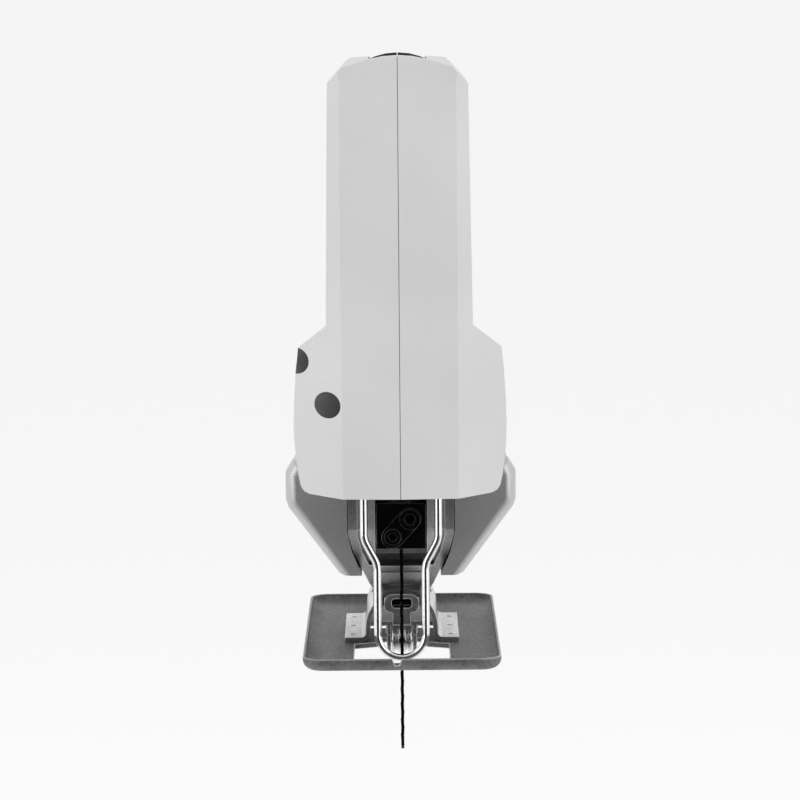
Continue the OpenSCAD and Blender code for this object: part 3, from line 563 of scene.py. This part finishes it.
def belly_cover():
    low, high = (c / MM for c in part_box("belly_cover"))
    rim = 5.0             # radius of the rim
    over = 0.05           # the envelope stands this far outside the cover
    half, top = high.x + over, high.z + over
    foot, knee = 23.8, 57.2        # half width at the foot; height where the sides turn vertical
    brow, brow_in = 4.2, 2.9       # the chamfer along the top: its height and its width
    cheek, cheek_in = 3.3, 1.2     # the same for the bend above the knee

    def section(inset, y):
        """The corners of the front outline at one y, drawn in by inset."""
        return [(side * x, y, z) for side in (1, -1) for x, z in (
            (half - inset, top - brow - inset * 0.4), (half - brow_in - inset * 0.7, top - inset),
            (half - inset, knee + cheek), (half - cheek_in - inset, knee + inset * 0.3),
            (foot - inset * 1.05, low.z - over))]

    points = []
    for step in range(9):
        turn = math.radians(90 * step / 8)
        points += section(rim * (1 - math.cos(turn)), low.y - over + rim * (1 - math.sin(turn)))
    points += section(0, high.y + 1)
    work = bmesh.new()
    for place in points:
        work.verts.new(Vector(place) * MM)
    hull = bmesh.ops.convex_hull(work, input=work.verts)
    bmesh.ops.delete(work, geom=[v for v in hull["geom_interior"] if isinstance(v, bmesh.types.BMVert)],
                     context="VERTS")
    envelope = outward(finish_mesh(bpy.data.meshes.new("belly_envelope"), work))
    mesh, work = plain_copy(frame["nodes"]["belly_cover"], "belly_body")
    cover = boolean("moulded_belly_cover", finish_mesh(mesh, work), "INTERSECT", envelope)
    add_piece("moulded_belly_cover", cover, "belly_plastic", "housing", "belly_cover")


belly_cover()


# ---------- wire guard ----------

def wire_guard():
    """One bent wire: two legs that step inwards, and a half-round bow at the foot."""
    low, high = (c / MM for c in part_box("wire_guard"))
    radius = (high.y - low.y) / 2
    middle, leg, foot = (high.y + low.y) / 2, high.x - radius, low.z + radius
    bow = 9.1             # radius of the bow, and half the distance between the lower legs
    side = [(leg, high.z - 0.1, 0), (leg, 47.6, 9.0), (bow, 38.2, 9.0), (bow, foot, bow)]
    path = side + [(-x, z, bend) for x, z, bend in reversed(side)]
    mesh = bpy.data.meshes.new("guard_path")
    mesh.from_pydata([Vector((x, middle, z)) * MM for x, z, bend in path],
                     [(i, i + 1) for i in range(len(path) - 1)], [])
    bends = mesh.attributes.new("bend", "FLOAT", "POINT")
    for item, (x, z, bend) in zip(bends.data, path):
        item.value = bend * MM
    wire = grow("bent_guard_wire", mesh, wire_tree(), {
        "Radius": radius * MM, "Sides": 24, "Steps": 14, "Material": MATERIALS["chromed_wire"]})
    add_piece("bent_guard_wire", outward(wire), "chromed_wire", "housing", "wire_guard")


wire_guard()


# ---------- trigger spring: a coil of round wire --------------------------

def trigger_spring():
    low, high = (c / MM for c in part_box("trigger_spring"))
    wire, turns, steps = 0.45, 4, 24
    coil = (high.x - low.x) / 2 - wire
    centre_y, rise = (high.y + low.y) / 2, high.z - low.z - 2 * wire
    total = turns * steps
    path = [(coil * math.cos(2 * math.pi * i / steps), centre_y + coil * math.sin(2 * math.pi * i / steps),
             low.z + wire + rise * i / total) for i in range(total + 1)]
    mesh = bpy.data.meshes.new("spring_path")
    mesh.from_pydata([Vector(p) * MM for p in path], [(i, i + 1) for i in range(total)], [])
    mesh.attributes.new("bend", "FLOAT", "POINT")
    spring = grow("coiled_trigger_spring", mesh, wire_tree(), {
        "Radius": wire * MM, "Sides": 10, "Steps": 1, "Material": MATERIALS["bright_steel"]})
    piece = add_piece("coiled_trigger_spring", outward(spring), "bright_steel", "housing", "trigger_spring")
    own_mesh(piece)


trigger_spring()


# ---------- saw blade: the teeth are set alternately to each side ----------

def saw_blade():
    mesh, work = plain_copy(frame["nodes"]["saw_blade"], "set_saw_blade")
    low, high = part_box("saw_blade")
    pitch, bend, shank = 3 * MM, 0.14 * MM, 22 * MM
    for vert in work.verts:
        if vert.co.y < low.y + 0.2 * MM and vert.co.z < high.z - shank:
            tooth = int((vert.co.z - low.z) / pitch)
            vert.co.x += bend if tooth % 2 else -bend
    add_piece("set_saw_blade", finish_mesh(mesh, work), "black_oxide_steel", "plunger", "saw_blade",
              finish=BLADE_BLACK)


saw_blade()


# ---------- sole plate: pressed sheet with curled lips and rounded corners ----------

def rounded_ring(half_x, half_y, radius, steps=10):
    """Corner points of a rounded rectangle, anticlockwise from the +X side."""
    ring = []
    for corner, (sx, sy) in enumerate(((1, 1), (-1, 1), (-1, -1), (1, -1))):
        for step in range(steps + 1):
            turn = math.radians(90 * (corner + step / steps))
            ring.append((sx * (half_x - radius) + radius * math.cos(turn),
                         sy * (half_y - radius) + radius * math.sin(turn)))
    return ring


def lip_profile(sheet, lip, bend):
    """Half section of the pressed edge as (distance in from the outer edge, height), under then over."""
    inner = 9             # how far in the section runs
    under = [(inner, 0), (bend + 1, 0)]
    under += [(bend - bend * math.sin(a), bend - bend * math.cos(a))
              for a in (math.radians(90 * i / 10) for i in range(1, 11))]
    edge = [(0.08, lip - 0.35), (0.3, lip - 0.08), (0.6, lip), (0.9, lip - 0.08), (1.1, lip - 0.35)]
    reach, drop = 6.2, lip - 0.35 - sheet      # the inner side sweeps down in a long soft curve
    over = [(1.1 + reach * (1 - math.cos(a)), sheet + drop * (1 - math.sin(a)))
            for a in (math.radians(90 * i / 10) for i in range(1, 11))]
    return under + edge + over + [(inner, sheet)]


def sole_plate():
    low, high = (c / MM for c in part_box("sole_plate"))
    corner, sheet, bend = 8.0, 2.0, 4.0
    profile = lip_profile(sheet, high.z, bend)
    verts, faces = [], []
    for inset, z in profile:
        ring = rounded_ring(high.x - inset, high.y - inset, max(corner - inset, 0.6))
        verts += [Vector((x, y, z)) * MM for x, y in ring]
    count = len(ring)
    for row in range(len(profile) - 1):
        for i in range(count):
            j = (i + 1) % count
            faces.append((row * count + i, row * count + j, (row + 1) * count + j, (row + 1) * count + i))
    faces += [tuple(range(count)), tuple(range((len(profile) - 1) * count, len(profile) * count))]
    mesh = bpy.data.meshes.new("sole_sheet")
    mesh.from_pydata(verts, [], faces)
    notch_x = -1.9
    window = [(-18.3, -67), (18.3, -67), (18.3, -26), (9, -22), (9, -12), (-9, -12), (-9, -22), (-18.3, -26)]
    plate = boolean(
        "pressed_sole_plate", outward(mesh), "DIFFERENCE",
        prism("blade_window", window, "Z", -5, 10),
        prism("bolt_slot", [(-13, 9), (13, 9), (13, 25), (-13, 25)], "Z", -5, 10),
        prism("sight_notch", [(notch_x - 0.9, 2.4), (notch_x + 0.9, 2.4), (notch_x + 2.2, high.z + 1),
                              (notch_x - 2.2, high.z + 1)], "Y", low.y - 5, low.y + 5))
    add_piece("pressed_sole_plate", plate, "zinc_plated_steel", "sole", "sole_plate")


sole_plate()


# ---------- tilt bracket: one strip bent to an arch with two flanges ----------

def bent_strip(centre, thick):
    """Closed outline of a strip of even thickness about a centre line."""
    left, right = [], []
    for i, (x, z) in enumerate(centre):
        ahead, behind = centre[min(i + 1, len(centre) - 1)], centre[max(i - 1, 0)]
        run = Vector((ahead[0] - behind[0], ahead[1] - behind[1])).normalized()
        left.append((x - run.y * thick / 2, z + run.x * thick / 2))
        right.append((x + run.y * thick / 2, z - run.x * thick / 2))
    return left + right[::-1]


def tilt_bracket():
    low, high = (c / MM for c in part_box("tilt_bracket"))
    thick = 1.8
    axis_z, arch = 8.0, high.z - 8.0 - thick / 2
    bend = 3.0            # centre line radius where the flange turns up
    flange_z = low.z + thick / 2
    half = [(high.x, flange_z), (arch + bend + 0.3, flange_z)]
    half += [(arch + bend - bend * math.sin(a), flange_z + bend - bend * math.cos(a))
             for a in (math.radians(90 * i / 8) for i in range(1, 9))]
    half += [(arch * math.cos(a), axis_z + arch * math.sin(a))
             for a in (math.radians(90 * i / 16) for i in range(17))]
    centre = half + [(-x, z) for x, z in reversed(half[:-1])]
    strip = prism("bracket_strip", bent_strip(centre, thick), "Y", low.y, high.y)
    reach = arch + 7      # the slot's cutter stands clear of the arch
    slot_from, slot_turn = 31, 118                 # degrees
    slot = [(0, axis_z)] + [(reach * math.cos(a), axis_z + reach * math.sin(a))
                            for a in (math.radians(slot_from + slot_turn * i / 8) for i in range(9))]
    bolt_y, slot_half = 17, 3.4
    bracket = boolean("bent_tilt_bracket", strip, "DIFFERENCE",
                      prism("tilt_slot", slot, "Y", bolt_y - slot_half, bolt_y + slot_half))
    work = bmesh.new()
    work.from_mesh(bracket)
    bmesh.ops.dissolve_limit(work, angle_limit=math.radians(0.2), verts=work.verts, edges=work.edges)
    round_edges(work, lambda e: 60 < edge_angle(e) < 120, 0.35, 2)
    add_piece("bent_tilt_bracket", finish_mesh(bracket, work), "zinc_plated_steel", "sole", "tilt_bracket",
              finish=BRACKET_ZINC)

    marks = bpy.data.meshes.new("weld_places")
    weld_x, weld_y = 19.4, (-14, 6, 26)
    places = [Vector((side * weld_x, y, low.z + thick)) * MM for side in (1, -1) for y in weld_y]
    marks.from_pydata(places, [], [])
    welds = grow("spot_welds", marks, weld_tree(), {
        "Radius": 1.5 * MM, "Rise": 0.14, "Material": BRACKET_ZINC})
    add_piece("spot_welds", welds, "zinc_plated_steel", "sole", finish=BRACKET_ZINC)


tilt_bracket()


# ---------- stage, light and camera ----------

def stage_floor():
    """A pale floor well below the tool, so wide that its edge is never seen. Sizes in metres."""
    size, gap = 120.0, 0.15
    z = cad_box[0].z - gap
    corners = [(-size, -size, z), (size, -size, z), (size, size, z), (-size, size, z)]
    mesh = bpy.data.meshes.new("floor")
    mesh.from_pydata(corners, [], [(0, 1, 2, 3)])
    floor = bpy.data.objects.new("floor", mesh)
    scene.collection.objects.link(floor)
    mat, _, shader, _ = new_material("pale_floor")
    shader.inputs["Base Color"].default_value = tone("#ffffff")
    shader.inputs["Roughness"].default_value = 0.9
    mesh.materials.append(mat)
    floor.visible_glossy = False     # bright metal mirrors the room, not the floor before it


def soft_light(name, place, target, size, power):
    """A rectangular bank of light turned to a target; metres and watts."""
    data = bpy.data.lights.new(name, "AREA")
    data.shape = "RECTANGLE"
    data.size, data.size_y = size
    data.energy = power
    lamp = bpy.data.objects.new(name, data)
    lamp.location = place
    lamp.rotation_euler = (Vector(target) - Vector(place)).to_track_quat("-Z", "Y").to_euler()
    scene.collection.objects.link(lamp)


def studio():
    """A white room with a dark end, and two banks of light at the sides."""
    world = bpy.data.worlds.new("studio")
    world.use_nodes = True
    tree = world.node_tree
    direction = add(tree, "ShaderNodeTexCoord").outputs["Generated"]
    ahead = add(tree, "ShaderNodeSeparateXYZ", Vector=direction).outputs["Y"]
    # white banks at the sides and behind, a dark room behind the camera
    shade = add(tree, "ShaderNodeMapRange", {"interpolation_type": "SMOOTHSTEP"}, Value=ahead,
                From_Min=-0.97, From_Max=-0.22, To_Min=0.05, To_Max=1.06).outputs["Result"]
    # the room itself is plain white wherever the camera looks straight at it
    seen = add(tree, "ShaderNodeLightPath").outputs["Is Camera Ray"]
    level = add(tree, "ShaderNodeMath", {"operation": "MAXIMUM"}, i0=shade, i1=seen).outputs[0]
    tree.links.new(level, tree.nodes["Background"].inputs["Strength"])
    tree.nodes["Background"].inputs["Color"].default_value = (1, 1, 1, 1)
    scene.world = world
    middle = (0, 0, 0.12)
    bank_size, bank_power = (0.5, 1.2), 4.0
    for name, side in (("left_bank", -1.0), ("right_bank", 1.0)):
        soft_light(name, (side, -0.9, 0.35), middle, bank_size, bank_power)
    scene.view_settings.view_transform = "Standard"


def camera():
    """A long lens a little above the tool, looking slightly down and rolled a little."""
    data = bpy.data.cameras.new("camera")
    data.sensor_width = 36
    data.lens = 173
    cam = bpy.data.objects.new("camera", data)
    pitch, tilt = math.radians(6.6), math.radians(-0.47)
    nose, distance, height = -0.075, 1.42, 0.267       # metres; the distance is from the tool's nose
    cam.location = (0.0, nose - distance, height)
    look = Matrix.Rotation(math.radians(90) - pitch, 4, "X")
    roll = Matrix.Rotation(tilt, 4, "Z")
    cam.rotation_euler = (look @ roll).to_euler()
    scene.collection.objects.link(cam)
    scene.camera = cam


stage_floor()
studio()
camera()
